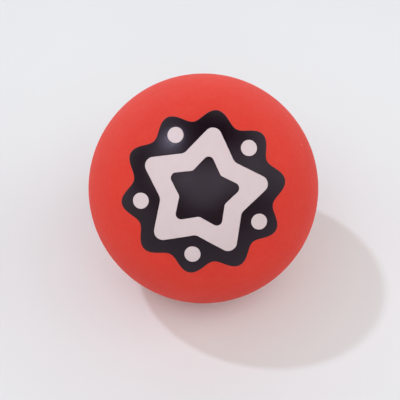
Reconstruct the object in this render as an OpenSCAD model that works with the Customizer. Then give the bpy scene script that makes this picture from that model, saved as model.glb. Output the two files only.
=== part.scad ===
// Hollow rubber bouncy ball. Two moulded half-shells are cemented edge to
// edge, two spent gas tablets lie inside, and a two-colour star badge is
// printed on the front half. The origin is the ball's centre and +Z is up,
// with the ball lying as it does on a table, its print turned up and forward.

/* [Ball] */
// Outside diameter of the ball
ball_d = 60; // [50:1:80]
// Thickness of the rubber wall
wall_t = 4.5; // [3:0.1:7]
// Angle of the print's middle above the horizon, in degrees
print_tilt = 45; // [20:1:70]

/* [Seam] */
// Thickness of the cement between the half-shells
cement_t = 0.3; // [0.1:0.05:0.6]
// Depth of the hairline groove that is left round the seam
groove_h = 0.2; // [0.1:0.05:0.5]
// Radius of the bead of cement that is squeezed into the cavity
bead_r = 0.6; // [0.4:0.1:1.2]

/* [Gas tablets] */
// Diameter of one spent tablet
tablet_d = 8; // [5:0.5:12]
// Thickness of one spent tablet
tablet_t = 3; // [2:0.25:5]
// Bevel round both faces of a tablet
tablet_bevel = 0.5; // [0.2:0.1:0.8]
// Clearance round the tablets
tablet_gap = 0.1; // [0.05:0.05:0.3]

/* [Printed badge] */
// Thickness of the ink film
ink_t = 0.08; // [0.06:0.01:0.2]
// Diameter of the black badge over the crests of its wavy edge
badge_d = 40; // [34:1:44]
// Height of the edge's waves from trough to crest
wave_h = 3; // [1:0.25:4]
// Number of waves round the edge
wave_n = 10; // [5:5:20]
// Black margin outside the sharp corners of the white star
star_margin = 2.8; // [2.5:0.1:5]
// Width from the white star's corners to the black star's corners inside it
star_band = 7.6; // [6:0.1:9]
// Corner radius of the white star
star_round = 2.1; // [1:0.1:2.5]
// Corner radius of the black star
core_round = 1.3; // [0.5:0.1:1.6]
// Diameter of the white dots between the star's arms
dot_d = 3.9; // [2:0.1:5]
// Turn of the badge about its own middle, in degrees
badge_turn = -10; // [-36:1:36]

/* [Hidden] */
// Colours of the rubber, the cement, the tablets and the two inks
RUBBER_RED = "#dc4239";
CEMENT_RED = "#a8302b";
TABLET_CHALK = "#e6e0d2";
INK_BLACK = "#2b2126";
INK_WHITE = "#ddcace";

// Corners of a star, and its inner corners as a share of its outer ones
star_n = 5;
star_waist_share = 0.6;

// Points on a rounded corner, and on one wave of the badge's edge
corner_steps = 8;
wave_steps = 24;

ball_r = ball_d / 2;
cavity_r = ball_r - wall_t;

// How far a cutting solid runs past what it cuts
overrun = wall_t;

badge_r = badge_d / 2;
star_r = badge_r - star_margin;
core_r = star_r - star_band;

// The dots sit midway between the star's waist and the badge's edge
dot_ring_r = (star_r * star_waist_share + badge_r) / 2;

tablet_r = tablet_d / 2;
tablet_face_r = tablet_r - tablet_bevel;

// Depth of a tablet's lower face below the ball's centre, where the edge of
// the face or of its bevel meets the cavity first
tablet_depth = min(
    sqrt(pow(cavity_r, 2) - pow(tablet_face_r, 2)),
    sqrt(pow(cavity_r, 2) - pow(tablet_r, 2)) + tablet_bevel
) - tablet_gap;

// Lean of each tablet from the vertical, where their upper edges clear
tablet_lean = atan2(tablet_r + tablet_gap / 2, tablet_depth - tablet_t + tablet_bevel);

$fn = 180;

// A point at radius r and angle a
function polar(r, a) = [r * cos(a), r * sin(a)];

function unit(v) = v / norm(v);

// Signed turn from angle a to angle b, the short way
function turn_between(a, b) = (b - a + 540) % 360 - 180;

// Arc of radius r that rounds the corner b between its neighbours a and c
function corner_arc(a, b, c, r) =
    let (
        u = unit(a - b),
        v = unit(c - b),
        half = acos(u * v) / 2,
        middle = b + unit(u + v) * r / sin(half),
        first = b + u * r / tan(half) - middle,
        last = b + v * r / tan(half) - middle,
        start = atan2(first.y, first.x),
        turn = turn_between(start, atan2(last.y, last.x))
    )
    [for (k = [0:corner_steps]) middle + polar(r, start + turn * k / corner_steps)];

// Outline with every corner rounded to radius r
function rounded(points, r) =
    let (n = len(points))
    [for (i = [0:n - 1]) each corner_arc(points[(i + n - 1) % n], points[i], points[(i + 1) % n], r)];

// Sharp corners of a star of outer radius r, one arm along +Y
function star_corners(r) = [
    for (i = [0:2 * star_n - 1])
        polar(i % 2 == 0 ? r : r * star_waist_share, 90 + i * 180 / star_n)
];

// Wavy edge of the badge, one crest along +Y
function wavy_edge() = [
    for (i = [0:wave_n * wave_steps - 1])
        let (a = i * 360 / (wave_n * wave_steps))
        polar(badge_r - wave_h * (1 - cos(wave_n * a)) / 2, 90 + a)
];

// Places its children with +Z along the line from the centre to the print
module print_frame() {
    rotate([90 - print_tilt, 0, 0]) children();
}

// Half of the hollow sphere above the seam, its outer edge bevelled by a cone
module half_shell() {
    intersection() {
        difference() {
            sphere(ball_r);
            sphere(cavity_r);
        }
        translate([0, 0, cement_t / 2])
            cylinder(h = ball_r, r1 = ball_r - groove_h, r2 = 2 * ball_r - groove_h);
    }
}

// Outlines of the badge
module star_outline(r, corner_r) {
    polygon(rounded(star_corners(r), corner_r));
}

module dots_outline() {
    for (i = [0:star_n - 1])
        translate(polar(dot_ring_r, 90 + (i + 0.5) * 360 / star_n))
            circle(d = dot_d, $fn = 64);
}

// Film of ink on the ball, of the outline given as the child
module ink_film() {
    print_frame()
        intersection() {
            difference() {
                sphere(ball_r + ink_t);
                sphere(ball_r);
            }
            rotate(badge_turn)
                linear_extrude(height = ball_r + overrun)
                    children();
        }
}

// One tablet, its lower face at z = 0
module tablet() {
    rotate_extrude($fn = 64)
        polygon([
            [0, 0],
            [tablet_face_r, 0],
            [tablet_r, tablet_bevel],
            [tablet_r, tablet_t - tablet_bevel],
            [tablet_face_r, tablet_t],
            [0, tablet_t]
        ]);
}

module front_half_shell() {
    color(RUBBER_RED)
        print_frame()
            half_shell();
}

module rear_half_shell() {
    color(RUBBER_RED)
        print_frame()
            mirror([0, 0, 1])
                half_shell();
}

// Flat ring of cement between the edges, with its bead inside the cavity
module seam_cement() {
    color(CEMENT_RED)
        print_frame()
            union() {
                difference() {
                    cylinder(h = cement_t, r = ball_r - groove_h, center = true);
                    cylinder(h = cement_t + overrun, r = cavity_r - bead_r / 2, center = true);
                }
                intersection() {
                    rotate_extrude()
                        translate([cavity_r, 0])
                            circle(r = bead_r, $fn = 48);
                    sphere(cavity_r);
                }
            }
}

// The two tablets lean together at the bottom of the cavity
module gas_tablets() {
    color(TABLET_CHALK)
        for (side = [-1, 1])
            rotate([0, side * tablet_lean, 0])
                translate([0, 0, -tablet_depth])
                    tablet();
}

module white_print() {
    color(INK_WHITE)
        ink_film()
            union() {
                difference() {
                    star_outline(star_r, star_round);
                    star_outline(core_r, core_round);
                }
                dots_outline();
            }
}

module black_print() {
    color(INK_BLACK)
        ink_film()
            union() {
                difference() {
                    polygon(wavy_edge());
                    star_outline(star_r, star_round);
                    dots_outline();
                }
                star_outline(core_r, core_round);
            }
}

front_half_shell();
rear_half_shell();
seam_cement();
gas_tablets();
white_print();
black_print();
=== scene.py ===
"""Matte red rubber bouncy ball with a printed star badge, on a plain pale floor."""
import math

import bmesh
import bpy
import numpy as np
from mathutils import Matrix, Vector, noise
from mathutils.geometry import delaunay_2d_cdt


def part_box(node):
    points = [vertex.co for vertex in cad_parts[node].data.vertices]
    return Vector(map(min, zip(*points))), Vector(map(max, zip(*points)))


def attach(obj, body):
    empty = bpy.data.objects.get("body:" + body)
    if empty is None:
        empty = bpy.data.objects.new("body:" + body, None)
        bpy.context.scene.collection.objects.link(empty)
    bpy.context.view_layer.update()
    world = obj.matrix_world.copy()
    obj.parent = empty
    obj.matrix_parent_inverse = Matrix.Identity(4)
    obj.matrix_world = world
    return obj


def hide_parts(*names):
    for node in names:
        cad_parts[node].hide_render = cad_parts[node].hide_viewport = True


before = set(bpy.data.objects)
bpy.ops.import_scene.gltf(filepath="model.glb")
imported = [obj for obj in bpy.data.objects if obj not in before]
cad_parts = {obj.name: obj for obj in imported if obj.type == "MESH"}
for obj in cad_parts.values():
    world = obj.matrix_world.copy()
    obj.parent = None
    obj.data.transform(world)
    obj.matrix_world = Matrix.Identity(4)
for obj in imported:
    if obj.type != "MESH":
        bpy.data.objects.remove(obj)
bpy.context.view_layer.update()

# One millimetre in the scene's metres
MM = 0.001

# Ball, from the frame, and the sizes that the frame doesn't give
shell_low, shell_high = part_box("front_half_shell")
BALL_R = round((shell_high[0] - shell_low[0]) / 2, 4)
WALL_T = 4.5 * MM
CAVITY_R = BALL_R - WALL_T
PRINT_TILT = math.radians(45)

# Turns the print's own frame, +Z through the badge, into the ball's
PRINT_FRAME = Matrix.Rotation(math.radians(90) - PRINT_TILT, 4, "X")

# Seam between the half-shells: cement, groove outside and bead inside
CEMENT_T = 0.3 * MM
GROOVE_H = 0.2 * MM
GROOVE_LIP = 0.25 * GROOVE_H
BEAD_R = 0.6 * MM

# Band along the seam where the moulding flash was ground off, and its scratches
BUFF_HALF_W = 1.3 * MM
BUFF_RAGGED = 0.5 * MM
BUFF_RAGGED_SIZE = 2.5 * MM
BUFF_PALENESS = 0.05
SCRATCH_LEN = 1.8 * MM
SCRATCH_W = 0.1 * MM
SCRATCH_DEPTH = 0.012 * MM
# Values of the streaks' noise at which a scratch starts and is at its deepest
STREAK_RANGE = (0.35, 0.7)

# Spent gas tablets in the cavity, and the pits in them
TABLET_R = 4 * MM
TABLET_T = 3 * MM
TABLET_BEVEL = 0.5 * MM
TABLET_GAP = 0.1 * MM
PIT_DEPTH = 0.07 * MM
PIT_SIZE = 0.5 * MM
# Fractal noise of the pits: increment, lacunarity and octaves
PIT_NOISE = (0.6, 2, 4)
# Moves the noise to either side, so that the two tablets differ
PIT_SHIFT = 7

# Printed badge
INK_T = 0.08 * MM
BADGE_R = 20 * MM
BADGE_TURN = math.radians(-10)
WAVE_H = 3 * MM
WAVE_N = 10
STAR_N = 5
STAR_MARGIN = 2.8 * MM
STAR_BAND = 7.6 * MM
STAR_ROUND = 2.1 * MM
CORE_ROUND = 1.3 * MM
STAR_WAIST_SHARE = 0.6
DOT_R = 1.95 * MM

STAR_R = BADGE_R - STAR_MARGIN
CORE_R = STAR_R - STAR_BAND
DOT_RING_R = (STAR_R * STAR_WAIST_SHARE + BADGE_R) / 2
# Direction of the star's upper arm in the print's frame
BADGE_UP = math.pi / 2 + BADGE_TURN

# Stretch of the soft printing pad, slow over the badge, and a fine wobble of the ink's edges
PAD_STRETCH = 0.12 * MM
PAD_STRETCH_SIZE = 14 * MM
EDGE_WOBBLE = 0.018 * MM
EDGE_WOBBLE_SIZE = 0.9 * MM
# Slice of the noise that gives the wobble, away from the stretch's slice at 0
EDGE_WOBBLE_SLICE = 5
PAD_SEED = 1

# Rounded rim of an ink film: distance in from the outline, and share of the full height there
RIM_STEPS = [(0, 0.3), (0.03 * MM, 0.72), (0.08 * MM, 0.95), (0.14 * MM, 1)]

# Grid of points over an ink film: their spacing, and how far they stay from the outlines
FILM_PITCH = 0.55 * MM
FILM_MARGIN = 0.4 * MM

# Sides of the ball, a tablet and a dot round a turn, and of one wave of the badge
BALL_SIDES = 256
TABLET_SIDES = 96
DOT_SIDES = 64
WAVE_SIDES = 48
# Rings across a tablet's face, and up its straight wall
FACE_RINGS = 24
WALL_RINGS = 8
# Steps round a corner of the star, and the longest straight part of its outline
CORNER_STEPS = 14
STAR_PART = 0.3 * MM
# Distance in metres below which two points are one
SAME_POINT = 1e-9


# Mesh helpers

def add_mesh(name, verts, faces, sharp_angle=40):
    """New object from points in metres, smooth but for its sharp edges."""
    mesh = bpy.data.meshes.new(name)
    mesh.from_pydata(verts, [], faces)
    mesh.validate()
    bm = bmesh.new()
    bm.from_mesh(mesh)
    bmesh.ops.recalc_face_normals(bm, faces=bm.faces)
    bm.to_mesh(mesh)
    bm.free()
    mesh.polygons.foreach_set("use_smooth", [True] * len(mesh.polygons))
    mesh.set_sharp_from_angle(angle=math.radians(sharp_angle))
    obj = bpy.data.objects.new(name, mesh)
    bpy.context.scene.collection.objects.link(obj)
    return obj


def arc(radius, start, end, steps, centre=(0, 0)):
    """Points (r, z) on an arc, by angles from the axis in radians."""
    points = []
    for k in range(steps + 1):
        a = start + (end - start) * k / steps
        points.append((centre[0] + radius * math.sin(a), centre[1] + radius * math.cos(a)))
    return points


def revolve(profile, sides, closed=False):
    """Turns an (r, z) profile round the Z axis; a closed profile makes a ring."""
    verts, faces, rings = [], [], []
    for r, z in profile:
        first = len(verts)
        if r < SAME_POINT:
            verts.append(Vector((0, 0, z)))
            rings.append([first] * sides)
            continue
        for k in range(sides):
            a = 2 * math.pi * k / sides
            verts.append(Vector((r * math.cos(a), r * math.sin(a), z)))
        rings.append(list(range(first, first + sides)))
    pairs = list(zip(rings, rings[1:]))
    if closed:
        pairs.append((rings[-1], rings[0]))
    for low, high in pairs:
        for k in range(sides):
            n = (k + 1) % sides
            corners = [low[k], low[n], high[n], high[k]]
            # At a pole two corners are one, and the face is a triangle
            faces.append(list(dict.fromkeys(corners)))
    return verts, faces


# Half-shells, cement and tablets

def shell_profile():
    """Outline of the half-shell above the seam, from the outer pole to the inner one."""
    edge_z = CEMENT_T / 2
    slope_top = edge_z + GROOVE_H
    outer_end = math.acos(slope_top / BALL_R) - GROOVE_LIP / BALL_R
    inner_end = math.acos(edge_z / CAVITY_R)
    outer = arc(BALL_R, 0, outer_end, steps=120)
    # Side of the groove, rounded at the outside and where it meets the edge
    slope = [
        (BALL_R - 0.15 * GROOVE_H, slope_top),
        (BALL_R - 0.5 * GROOVE_H, edge_z + 0.5 * GROOVE_H),
        (BALL_R - GROOVE_H - 0.3 * GROOVE_LIP, edge_z + 0.15 * GROOVE_LIP),
        (BALL_R - GROOVE_H - GROOVE_LIP, edge_z),
    ]
    edge = [(BALL_R - WALL_T * share, edge_z) for share in (0.3, 0.6, 0.9)]
    inner = arc(CAVITY_R, inner_end, 0, steps=64)
    return outer + slope + edge + inner


def half_shell(name, side):
    """Half-shell on the print's side of the seam (side 1) or behind it (side -1)."""
    verts, faces = revolve(shell_profile(), BALL_SIDES)
    flip = Matrix.Diagonal((1, 1, side, 1))
    return add_mesh(name, [PRINT_FRAME @ flip @ v for v in verts], faces)


def cement_ring():
    """Flat ring between the edges, with a rounded bead inside the cavity."""
    half = CEMENT_T / 2
    outer_r = BALL_R - GROOVE_H
    # Radius of the cavity's wall where the bead ends on it
    wall = CAVITY_R - BEAD_R * BEAD_R / (2 * CAVITY_R)
    neck = [(wall + (outer_r - wall) * share, half) for share in (0.02, 0.3, 0.6)]
    rim = [(outer_r - half, half), (outer_r - 0.3 * half, 0.6 * half), (outer_r, 0)]
    rim += [(r, -z) for r, z in reversed(rim[:-1])]
    below = [(r, -z) for r, z in reversed(neck)]
    bead = arc(BEAD_R, -math.pi, 0, steps=24, centre=(wall, 0))
    verts, faces = revolve(neck + rim + below + bead, BALL_SIDES, closed=True)
    return add_mesh("cement_ring", [PRINT_FRAME @ v for v in verts], faces)


def tablet_profile(face_r):
    """Outline of a tablet, from the middle of its lower face to the middle of its upper one."""
    face = [(face_r * k / FACE_RINGS, 0) for k in range(FACE_RINGS)]
    bevel = arc(TABLET_BEVEL, math.pi, math.pi / 2, steps=6, centre=(face_r, TABLET_BEVEL))
    wall_h = TABLET_T - 2 * TABLET_BEVEL
    rings = range(1, WALL_RINGS // 2 + 1)
    half_wall = [(TABLET_R, TABLET_BEVEL + wall_h * k / WALL_RINGS) for k in rings]
    lower = face + bevel + half_wall
    upper = [(r, TABLET_T - z) for r, z in reversed(lower[:-1])]
    return lower + upper


def tablet(name, side):
    """Spent tablet with worn edges and pits, leaning at the bottom of the cavity."""
    face_r = TABLET_R - TABLET_BEVEL
    # How far below the ball's middle its lower face can lie, clear of the cavity's wall
    depth = min(
        math.sqrt(CAVITY_R ** 2 - face_r ** 2),
        math.sqrt(CAVITY_R ** 2 - TABLET_R ** 2) + TABLET_BEVEL,
    ) - TABLET_GAP
    # Turn round the ball's middle that just keeps the two tablets apart
    lean = math.atan2(TABLET_R + TABLET_GAP / 2, depth - TABLET_T + TABLET_BEVEL)
    verts, faces = revolve(tablet_profile(face_r), TABLET_SIDES)
    middle = Vector((0, 0, TABLET_T / 2))
    shift = Vector((side * PIT_SHIFT, 0, 0))
    placed = []
    for v in verts:
        inward = (middle - v).normalized()
        pit = 0.5 + 0.5 * noise.fractal(v / PIT_SIZE + shift, *PIT_NOISE)
        point = v + inward * PIT_DEPTH * min(max(pit, 0), 1)
        point.z -= depth
        placed.append(Matrix.Rotation(side * lean, 4, "Y") @ point)
    return add_mesh(name, placed, faces, sharp_angle=60)


# Outlines of the print

def polar(r, a):
    """Point of the print's plane, by its distance from the middle and its angle."""
    return Vector((r * math.cos(a), r * math.sin(a)))


def corner_arc(before, corner, after, r):
    """Arc of radius r that rounds a corner of an outline."""
    u, v = (before - corner).normalized(), (after - corner).normalized()
    half = math.acos(max(-1, min(1, u.dot(v)))) / 2
    middle = corner + (u + v).normalized() * r / math.sin(half)
    first = corner + u * r / math.tan(half) - middle
    last = corner + v * r / math.tan(half) - middle
    start = math.atan2(first.y, first.x)
    turn = (math.atan2(last.y, last.x) - start + math.pi) % (2 * math.pi) - math.pi
    return [middle + polar(r, start + turn * k / CORNER_STEPS) for k in range(CORNER_STEPS + 1)]


def evenly(points, spacing):
    """Adds points along the longer sides of a closed outline."""
    out = []
    for a, b in zip(points, points[1:] + points[:1]):
        parts = max(1, round((b - a).length / spacing))
        out += [a.lerp(b, k / parts) for k in range(parts)]
    return out


def star(r, corner_r):
    """Outline of a rounded star with one arm pointing up the badge."""
    n = 2 * STAR_N
    sharp = []
    for k in range(n):
        reach = r * STAR_WAIST_SHARE if k % 2 else r
        sharp.append(polar(reach, BADGE_UP + k * math.pi / STAR_N))
    points = []
    for k in range(n):
        points += corner_arc(sharp[k - 1], sharp[k], sharp[(k + 1) % n], corner_r)
    return evenly(points, STAR_PART)


def wavy_edge():
    """Outline of the badge, one crest along each arm of the star and one between."""
    n = WAVE_N * WAVE_SIDES
    points = []
    for k in range(n):
        a = 2 * math.pi * k / n
        r = BADGE_R - WAVE_H * (1 - math.cos(WAVE_N * a)) / 2
        points.append(polar(r, BADGE_UP + a))
    return points


def dots():
    """Outlines of the dots between the star's arms."""
    circle = [polar(DOT_R, 2 * math.pi * k / DOT_SIDES) for k in range(DOT_SIDES)]
    rings = []
    for k in range(STAR_N):
        middle = polar(DOT_RING_R, BADGE_UP + (k + 0.5) * 2 * math.pi / STAR_N)
        rings.append([middle + point for point in circle])
    return rings


def inset(loop, distance):
    """Moves a closed outline to its left by a distance."""
    out = []
    for k, p in enumerate(loop):
        along = (loop[(k + 1) % len(loop)] - loop[k - 1]).normalized()
        out.append(p + Vector((-along.y, along.x)) * distance)
    return out


def inside(points, loops):
    """Even-odd test of many points against many outlines."""
    odd = np.zeros(len(points), bool)
    for loop in loops:
        a = np.array(loop)
        b = np.roll(a, -1, axis=0)
        for (x0, y0), (x1, y1) in zip(a, b):
            if y0 == y1:
                continue
            crosses = (points[:, 1] < y0) != (points[:, 1] < y1)
            odd ^= crosses & (points[:, 0] < x0 + (points[:, 1] - y0) * (x1 - x0) / (y1 - y0))
    return odd


def distance_to(points, loops):
    """Distance of many points from the nearest point of the outlines."""
    outline = np.concatenate([np.array(loop) for loop in loops])
    return np.array([np.sqrt(((outline - p) ** 2).sum(1)).min() for p in points])


# Ink films

def warp(x, y):
    """Point of the print after the stretch and the wobble, which both inks share."""
    slow = noise.noise_vector(Vector((x, y, 0)) / PAD_STRETCH_SIZE) * PAD_STRETCH
    fine = noise.noise_vector(Vector((x, y, EDGE_WOBBLE_SLICE)) / EDGE_WOBBLE_SIZE) * EDGE_WOBBLE
    return x + slow.x + fine.x, y + slow.y + fine.y


def on_ball(x, y, height):
    """Point of the print's plane pressed onto the ball, at a height above the rubber."""
    x, y = warp(x, y)
    up = Vector((x, y, math.sqrt(BALL_R ** 2 - x * x - y * y))).normalized()
    return PRINT_FRAME @ (up * (BALL_R + height))


def film_rim(loops):
    """Rings that step in from the outlines as the film reaches its full height."""
    points, heights, edges, rims = [], [], [], []
    for loop in loops:
        rims.append((len(points), len(loop)))
        for distance, share in RIM_STEPS:
            first = len(points)
            points += inset(loop, distance)
            heights += [INK_T * share] * len(loop)
            edges += [(first + k, first + (k + 1) % len(loop)) for k in range(len(loop))]
    return points, heights, edges, rims


def film_grid(loops):
    """Points that let the flat middle of the film follow the ball."""
    span = int(BADGE_R / FILM_PITCH) + 2
    row_h = FILM_PITCH * math.sqrt(3) / 2
    grid = []
    for i in range(-span, span + 1):
        for j in range(-span, span + 1):
            grid.append((FILM_PITCH * (i + 0.5 * (j % 2)), row_h * j))
    grid = np.array(grid)
    grid = grid[inside(grid, loops)]
    return grid[distance_to(grid, loops) > FILM_MARGIN]


def film_faces(triangles, rims, place, top_count):
    """Top, underside and rim walls; the underside's points follow the top's in the same order."""
    faces = [list(t) for t in triangles]
    faces += [[k + top_count for k in reversed(t)] for t in triangles]
    for first, count in rims:
        for k in range(count):
            a, b = place[first + k], place[first + (k + 1) % count]
            faces.append([b, a, a + top_count, b + top_count])
    return faces


def ink_film(name, outlines, holes):
    """Closed film over the area inside the outlines and outside the holes."""
    loops = [list(loop) for loop in outlines] + [list(reversed(loop)) for loop in holes]
    flat, heights, edges, rims = film_rim(loops)
    grid = film_grid(loops)
    flat += [Vector(p) for p in grid]
    heights += [INK_T] * len(grid)
    # Triangles over the whole print, with the rings kept as edges, less those outside the film
    points, _, triangles, origin, _, _ = delaunay_2d_cdt(flat, edges, [], 0, SAME_POINT)
    middles = np.array([np.mean([points[k] for k in t], axis=0) for t in triangles])
    triangles = [t for t, kept in zip(triangles, inside(middles, loops)) if kept]
    verts = [on_ball(p.x, p.y, heights[olds[0]]) for p, olds in zip(points, origin)]
    verts += [on_ball(p.x, p.y, 0) for p in points]
    # New number of each point that went into the triangulation
    place = {old: new for new, olds in enumerate(origin) for old in olds}
    return add_mesh(name, verts, film_faces(triangles, rims, place, len(points)), sharp_angle=60)


# Shader nodes

# Range that nearly all values of a grain lie in
GRAIN_LOW = 0.3
GRAIN_HIGH = 0.7

# Radius of a speck's solid middle and of its faded edge, as shares of its cell
SPECK_CORE_SHARE = 0.03
SPECK_EDGE_SHARE = 0.055

# Width of a step that is all but sharp
SHARP_STEP = 0.001


def plug(tree, socket, value):
    """Links a socket to an input, or sets the input to a value."""
    if isinstance(value, bpy.types.NodeSocket):
        tree.links.new(value, socket)
    else:
        socket.default_value = value


def add_node(tree, kind, inputs=None, **settings):
    """New shader node; an input is a value or a socket to link from."""
    node = tree.nodes.new("ShaderNode" + kind)
    for key, value in settings.items():
        setattr(node, key, value)
    for key, value in (inputs or {}).items():
        plug(tree, node.inputs[key], value)
    return node


def calculate(tree, operation, first, second=0.0):
    """Result of a sum on one or two numbers or sockets."""
    return add_node(tree, "Math", {0: first, 1: second}, operation=operation).outputs["Value"]


def object_place(tree):
    """Place on the object, in metres."""
    return add_node(tree, "TexCoord").outputs["Object"]


def grain(tree, size, detail=3.0, roughness=0.55):
    """Noise of a given feature size in metres, from 0 to 1, fixed to the object."""
    inputs = {
        "Vector": object_place(tree), "Scale": 1 / size,
        "Detail": detail, "Roughness": roughness,
    }
    return add_node(tree, "TexNoise", inputs).outputs["Fac"]


def remap(tree, value, low, high, out_low, out_high, curve="LINEAR"):
    """Maps a value's range, clamped."""
    inputs = {
        "Value": value, "From Min": low, "From Max": high,
        "To Min": out_low, "To Max": out_high,
    }
    return add_node(tree, "MapRange", inputs, interpolation_type=curve).outputs["Result"]


def blend_colours(tree, factor, first, second):
    """Mix of two colours or colour sockets."""
    node = add_node(tree, "Mix", data_type="RGBA")
    # The node has inputs for each kind of data under the same names, so these go by number
    for index, value in ((0, factor), (6, first), (7, second)):
        plug(tree, node.inputs[index], value)
    return node.outputs[2]


def mottle(tree, first, second, size, detail, low=GRAIN_LOW, high=GRAIN_HIGH, most=1):
    """Second colour in patches over the first, as a grain goes from low to high."""
    share = remap(tree, grain(tree, size, detail), low, high, 0, most)
    return blend_colours(tree, share, first, second)


def uneven(tree, size, low, high):
    """Value that wanders between two limits over the surface."""
    return remap(tree, grain(tree, size), GRAIN_LOW, GRAIN_HIGH, low, high)


def add_dust(tree, colour, dust, cell, share, strength):
    """Tiny specks of dust over a colour, one in that share of the cells."""
    cells = add_node(tree, "TexVoronoi", {"Vector": object_place(tree), "Scale": 1 / cell})
    near = remap(tree, cells.outputs["Distance"], SPECK_CORE_SHARE, SPECK_EDGE_SHARE, 1, 0)
    chance = add_node(tree, "SeparateColor", {"Color": cells.outputs["Color"]}).outputs["Red"]
    chosen = remap(tree, chance, share, share + SHARP_STEP, 1, 0)
    specks = calculate(tree, "MULTIPLY", near, chosen)
    return blend_colours(tree, calculate(tree, "MULTIPLY", specks, strength), colour, dust)


def add_bumps(tree, shader, layers, extra=()):
    """Bumps from layers of grain, then from extra (height socket, depth) pairs."""
    heights = [(grain(tree, size, detail, rough), depth) for size, detail, rough, depth in layers]
    normal = None
    for height, depth in heights + list(extra):
        inputs = {"Height": height, "Distance": depth, "Strength": 1.0}
        if normal is not None:
            inputs["Normal"] = normal
        normal = add_node(tree, "Bump", inputs).outputs["Normal"]
    plug(tree, shader.inputs["Normal"], normal)


def new_material(name):
    """Material with its node tree and its shader."""
    material = bpy.data.materials.new(name)
    material.use_nodes = True
    tree = material.node_tree
    return material, tree, tree.nodes["Principled BSDF"]


# Materials

# Colours, in linear light
RUBBER = (0.675, 0.0185, 0.002, 1)
RUBBER_DEEP = (0.645, 0.0165, 0.0015, 1)
RUBBER_DARK = (0.56, 0.013, 0.001, 1)
RUBBER_PALE = (0.8, 0.3, 0.26, 1)
RUBBER_DUST = (0.9, 0.72, 0.68, 1)
WHITE_INK = (0.66, 0.545, 0.555, 1)
WHITE_INK_THIN = (0.63, 0.5, 0.51, 1)
WHITE_INK_FLECK = (0.6, 0.41, 0.42, 1)
BLACK_INK = (0.0055, 0.0005, 0.0015, 1)
BLACK_INK_PATCH = (0.0085, 0.001, 0.005, 1)
BLACK_INK_GLOSS = (0.92, 0.82, 1, 1)
BLACK_INK_DUST = (0.7, 0.65, 0.68, 1)
CEMENT = (0.4, 0.022, 0.016, 1)
CEMENT_DARK = (0.28, 0.015, 0.012, 1)
CHALK = (0.82, 0.77, 0.67, 1)
CHALK_PINK = (0.7, 0.6, 0.52, 1)
PAPER = (0.73, 0.733, 0.733, 1)
PAPER_DEEP = (0.72, 0.723, 0.723, 1)

# Layers of bumps: size of the grain, its detail and roughness, and depth
RUBBER_BUMPS = [
    (1.6 * MM, 2, 0.55, 0.012 * MM),
    (0.2 * MM, 3, 0.7, 0.03 * MM),
    (0.08 * MM, 2, 0.6, 0.015 * MM),
]
INK_BUMPS = [
    (1.6 * MM, 2, 0.55, 0.01 * MM),
    (0.25 * MM, 2, 0.6, 0.005 * MM),
]
CEMENT_BUMPS = [(0.3 * MM, 3, 0.55, 0.02 * MM)]
CHALK_BUMPS = [(0.15 * MM, 4, 0.7, 0.03 * MM)]
PAPER_BUMPS = [(0.6 * MM, 4, 0.7, 0.02 * MM)]


def seam_scratches(tree, height, axis):
    """Noise squeezed across the seam, so that its streaks run along it, from 0 to 1."""
    place = object_place(tree)
    along = add_node(tree, "VectorMath", {0: place, "Scale": 1 / SCRATCH_LEN}, operation="SCALE")
    squeeze = calculate(tree, "MULTIPLY", height, 1 / SCRATCH_W - 1 / SCRATCH_LEN)
    across = add_node(tree, "VectorMath", {0: axis, "Scale": squeeze}, operation="SCALE")
    parts = {0: along.outputs["Vector"], 1: across.outputs["Vector"]}
    squeezed = add_node(tree, "VectorMath", parts).outputs["Vector"]
    streaks = add_node(tree, "TexNoise", {"Vector": squeezed, "Scale": 1.0, "Detail": 2.0})
    return remap(tree, streaks.outputs["Fac"], *STREAK_RANGE, 0, 1)


def buffed_seam(tree):
    """Band along the seam where the flash was ground off, and the scratches in it."""
    axis = PRINT_FRAME.col[2].xyz
    inputs = {0: object_place(tree), 1: axis}
    height = add_node(tree, "VectorMath", inputs, operation="DOT_PRODUCT").outputs["Value"]
    ragged = uneven(tree, BUFF_RAGGED_SIZE, -BUFF_RAGGED, BUFF_RAGGED)
    away = calculate(tree, "ADD", calculate(tree, "ABSOLUTE", height), ragged)
    band = remap(tree, away, BUFF_HALF_W - BUFF_RAGGED, BUFF_HALF_W + BUFF_RAGGED, 1, 0)
    return band, calculate(tree, "MULTIPLY", seam_scratches(tree, height, axis), band)


def rubber_material():
    """Red rubber, ground matte: cloudiness, fine grain, bloom, a buffed seam and dust."""
    material, tree, shader = new_material("rubber_red")
    colour = mottle(tree, RUBBER, RUBBER_DEEP, size=16 * MM, detail=2)
    colour = mottle(
        tree, colour, RUBBER_DARK, size=0.28 * MM, detail=2, low=0.35, high=0.75, most=0.16,
    )
    colour = mottle(
        tree, colour, RUBBER_PALE, size=5 * MM, detail=5, low=0.45, high=0.8, most=0.03,
    )
    band, scratches = buffed_seam(tree)
    buffed = calculate(tree, "MULTIPLY", calculate(tree, "ADD", scratches, band), BUFF_PALENESS)
    colour = blend_colours(tree, buffed, colour, RUBBER_PALE)
    colour = add_dust(tree, colour, RUBBER_DUST, cell=3.5 * MM, share=0.05, strength=0.45)
    plug(tree, shader.inputs["Base Color"], colour)
    plug(tree, shader.inputs["Roughness"], uneven(tree, size=1.1 * MM, low=0.7, high=0.8))
    shader.inputs["IOR"].default_value = 1.5
    shader.inputs["Specular IOR Level"].default_value = 0.57
    add_bumps(tree, shader, RUBBER_BUMPS, [(scratches, SCRATCH_DEPTH)])
    return material


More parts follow.
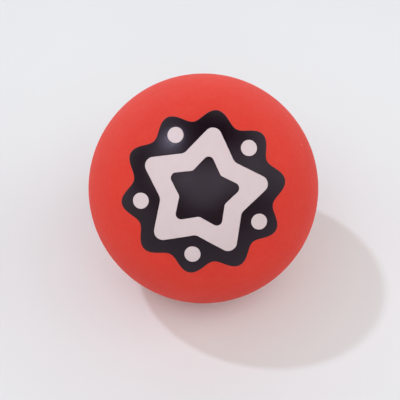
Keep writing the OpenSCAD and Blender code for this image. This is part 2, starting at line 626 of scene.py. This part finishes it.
def white_ink_material():
    """Off-white ink that lets a little of the red through where it is thin."""
    material, tree, shader = new_material("ink_white")
    colour = mottle(
        tree, WHITE_INK, WHITE_INK_THIN, size=3 * MM, detail=3, low=0.35, high=0.75, most=0.5,
    )
    colour = mottle(
        tree, colour, WHITE_INK_FLECK, size=0.3 * MM, detail=2, low=0.55, high=0.8, most=0.25,
    )
    plug(tree, shader.inputs["Base Color"], colour)
    plug(tree, shader.inputs["Roughness"], uneven(tree, size=0.8 * MM, low=0.4, high=0.48))
    shader.inputs["Specular IOR Level"].default_value = 0.17
    add_bumps(tree, shader, INK_BUMPS)
    return material


def black_ink_material():
    """Black ink with a satin skin, faintly violet in its gloss, and a few specks of dust."""
    material, tree, shader = new_material("ink_black")
    colour = mottle(tree, BLACK_INK, BLACK_INK_PATCH, size=4 * MM, detail=3, low=0.35)
    colour = add_dust(tree, colour, BLACK_INK_DUST, cell=3 * MM, share=0.06, strength=0.12)
    plug(tree, shader.inputs["Base Color"], colour)
    plug(tree, shader.inputs["Roughness"], uneven(tree, size=0.8 * MM, low=0.29, high=0.36))
    shader.inputs["Specular IOR Level"].default_value = 0.3
    shader.inputs["Specular Tint"].default_value = BLACK_INK_GLOSS
    add_bumps(tree, shader, INK_BUMPS)
    return material


def cement_material():
    """Cured rubber cement, darker than the shells and faintly glossy."""
    material, tree, shader = new_material("cement_dark_red")
    colour = mottle(tree, CEMENT, CEMENT_DARK, size=0.6 * MM, detail=3)
    plug(tree, shader.inputs["Base Color"], colour)
    shader.inputs["Roughness"].default_value = 0.45
    add_bumps(tree, shader, CEMENT_BUMPS)
    return material


def tablet_material():
    """Chalky pressed salt with a pinkish bloom."""
    material, tree, shader = new_material("tablet_chalk")
    colour = mottle(tree, CHALK, CHALK_PINK, size=0.9 * MM, detail=4)
    plug(tree, shader.inputs["Base Color"], colour)
    shader.inputs["Roughness"].default_value = 0.9
    add_bumps(tree, shader, CHALK_BUMPS)
    return material


def floor_material():
    """Matte paper, almost white."""
    material, tree, shader = new_material("floor_paper")
    colour = mottle(tree, PAPER, PAPER_DEEP, size=60 * MM, detail=3)
    plug(tree, shader.inputs["Base Color"], colour)
    shader.inputs["Roughness"].default_value = 0.9
    shader.inputs["Specular IOR Level"].default_value = 0.2
    add_bumps(tree, shader, PAPER_BUMPS)
    return material


# Pieces and floor

# Half the floor's width, in metres
FLOOR_HALF_W = 1.5


def dress(piece, material, node):
    """Gives a piece its finish and its body, and hides the CAD node that it stands for."""
    piece.data.materials.append(material)
    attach(piece, "root")
    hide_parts(node)


def build_ball():
    """All pieces of the ball, from the shells to the print."""
    rubber = rubber_material()
    dress(half_shell("front_shell", 1), rubber, "front_half_shell")
    dress(half_shell("rear_shell", -1), rubber, "rear_half_shell")
    dress(cement_ring(), cement_material(), "seam_cement")
    chalk = tablet_material()
    for name, side in (("tablet_right", -1), ("tablet_left", 1)):
        dress(tablet(name, side), chalk, "gas_tablets")
    # Without a seed, the pad's stretch would differ from run to run
    noise.seed_set(PAD_SEED)
    big, core = star(STAR_R, STAR_ROUND), star(CORE_R, CORE_ROUND)
    white = ink_film("white_ink_film", [big] + dots(), [core])
    dress(white, white_ink_material(), "white_print")
    black = ink_film("black_ink_film", [wavy_edge(), core], [big] + dots())
    dress(black, black_ink_material(), "black_print")


def build_floor():
    """Square floor that the ball lies on."""
    w, low = FLOOR_HALF_W, -BALL_R
    verts = [(-w, -w, low), (w, -w, low), (w, w, low), (-w, w, low)]
    floor = add_mesh("floor", verts, [(0, 1, 2, 3)])
    floor.data.materials.append(floor_material())


# Camera and light

# Photograph's frame, and where the ball lies in it
IMAGE_PX = 400
BALL_PX = (203.35, 188.49)
BALL_RADIUS_PX = 114.94
CAMERA_ELEVATION = math.radians(46.9)
CAMERA_DISTANCE = 10 * BALL_R
SENSOR_MM = 36

# Key light: azimuth and altitude in degrees, strength, colour and width in the sky
KEY_DIRECTION = (160.7, 60.3)
KEY_STRENGTH = 0.778
KEY_COLOUR = (0.765, 0.847, 1)
KEY_WIDTH = math.radians(3.2)

# Soft boxes: azimuth and altitude in degrees, and power in watts
SOFT_BOXES = {
    "left_box": (210, 50, 15.2),
    "front_box": (270, 50, 20.8),
    "right_box": (330, 50, 13.2),
    "side_box": (0, 25, 8.6),
}
# Their distance from the ball's middle and their width, in metres
SOFT_BOX_DISTANCE = 2.4
SOFT_BOX_SIZE = 2.0
SOFT_BOX_COLOUR = (1, 1, 1)

# Brightness of the room straight behind, on the left and on the right
BACK_GLOW = 1.6
LEFT_GLOW = 0.85
RIGHT_GLOW = 0.36
# How strongly the brightness behind shows at the foot of the walls, and higher up
FOOT_BACK_FACTOR = 0.9
WALL_BACK_FACTOR = 1.13
# Brightness all round at the foot of the walls
FOOT_GLOW = 0.5
# Heights over which the foot gives way to the wall, and the wall to the dark ceiling:
# the upward part of a direction, 0 at the horizon and 1 overhead
FOOT_TOP = (0.15, 0.4)
WALL_TOP = (0.65, 0.85)


def towards(azimuth, altitude):
    """Unit vector to a direction in degrees, azimuth counter-clockwise from +X."""
    a, e = math.radians(azimuth), math.radians(altitude)
    return Vector((math.cos(e) * math.cos(a), math.cos(e) * math.sin(a), math.sin(e)))


def build_camera():
    """Camera that sees the ball at its place and size in the photograph."""
    focal_px = BALL_RADIUS_PX / math.tan(math.asin(BALL_R / CAMERA_DISTANCE))
    data = bpy.data.cameras.new("camera")
    data.sensor_width = SENSOR_MM
    data.lens = SENSOR_MM * focal_px / IMAGE_PX
    camera = bpy.data.objects.new("camera", data)
    back = Vector((0, -math.cos(CAMERA_ELEVATION), math.sin(CAMERA_ELEVATION)))
    middle = IMAGE_PX / 2
    seen_at = Vector((BALL_PX[0] - middle, middle - BALL_PX[1], -focal_px)).normalized()
    aim = (-back).to_track_quat("-Z", "Y") @ seen_at.rotation_difference(Vector((0, 0, -1)))
    camera.rotation_mode = "QUATERNION"
    camera.rotation_quaternion = aim
    camera.location = back * CAMERA_DISTANCE
    bpy.context.scene.collection.objects.link(camera)
    bpy.context.scene.camera = camera


def add_light(name, kind, direction, distance, energy, colour, **settings):
    """Light at a distance from the ball in a direction, aimed at the ball."""
    data = bpy.data.lights.new(name, kind)
    data.energy = energy
    data.color = colour
    for key, value in settings.items():
        setattr(data, key, value)
    lamp = bpy.data.objects.new(name, data)
    lamp.location = direction * distance
    lamp.rotation_mode = "QUATERNION"
    lamp.rotation_quaternion = (-direction).to_track_quat("-Z", "Y")
    bpy.context.scene.collection.objects.link(lamp)
    return lamp


def build_world():
    """Room that glows low down all round, higher up behind and on the right, and not overhead."""
    world = bpy.data.worlds.new("studio")
    world.use_nodes = True
    tree = world.node_tree
    direction = add_node(tree, "TexCoord").outputs["Generated"]
    axes = add_node(tree, "SeparateXYZ", {"Vector": direction}).outputs

    def add(first, second):
        return calculate(tree, "ADD", first, second)

    def multiply(first, second):
        return calculate(tree, "MULTIPLY", first, second)

    def below(heights):
        return remap(tree, axes["Z"], *heights, 1, 0, curve="SMOOTHSTEP")

    def above(heights):
        return remap(tree, axes["Z"], *heights, 0, 1, curve="SMOOTHSTEP")

    back = remap(tree, axes["Y"], 0, 1, 0, BACK_GLOW)
    left = remap(tree, axes["X"], 0, -1, 0, LEFT_GLOW)
    right = remap(tree, axes["X"], 0, 1, 0, RIGHT_GLOW)
    foot = add(add(multiply(back, FOOT_BACK_FACTOR), left), FOOT_GLOW)
    foot = multiply(foot, below(FOOT_TOP))
    wall = add(multiply(back, WALL_BACK_FACTOR), right)
    wall = multiply(multiply(wall, above(FOOT_TOP)), below(WALL_TOP))
    background = tree.nodes["Background"]
    plug(tree, background.inputs["Strength"], add(foot, wall))
    background.inputs["Color"].default_value = (1, 1, 1, 1)
    bpy.context.scene.world = world


def build_light():
    """Cool key high on the left, hard enough for a clear shadow, and large soft boxes."""
    key = towards(*KEY_DIRECTION)
    add_light(
        "key", "SUN", key, distance=1, energy=KEY_STRENGTH, colour=KEY_COLOUR, angle=KEY_WIDTH,
    )
    for name, (azimuth, altitude, power) in SOFT_BOXES.items():
        direction = towards(azimuth, altitude)
        box = add_light(
            name, "AREA", direction, distance=SOFT_BOX_DISTANCE, energy=power,
            colour=SOFT_BOX_COLOUR, shape="DISK", size=SOFT_BOX_SIZE,
        )
        box.visible_camera = False
    build_world()
    bpy.context.scene.view_settings.view_transform = "Standard"


build_camera()
build_light()
build_floor()
build_ball()
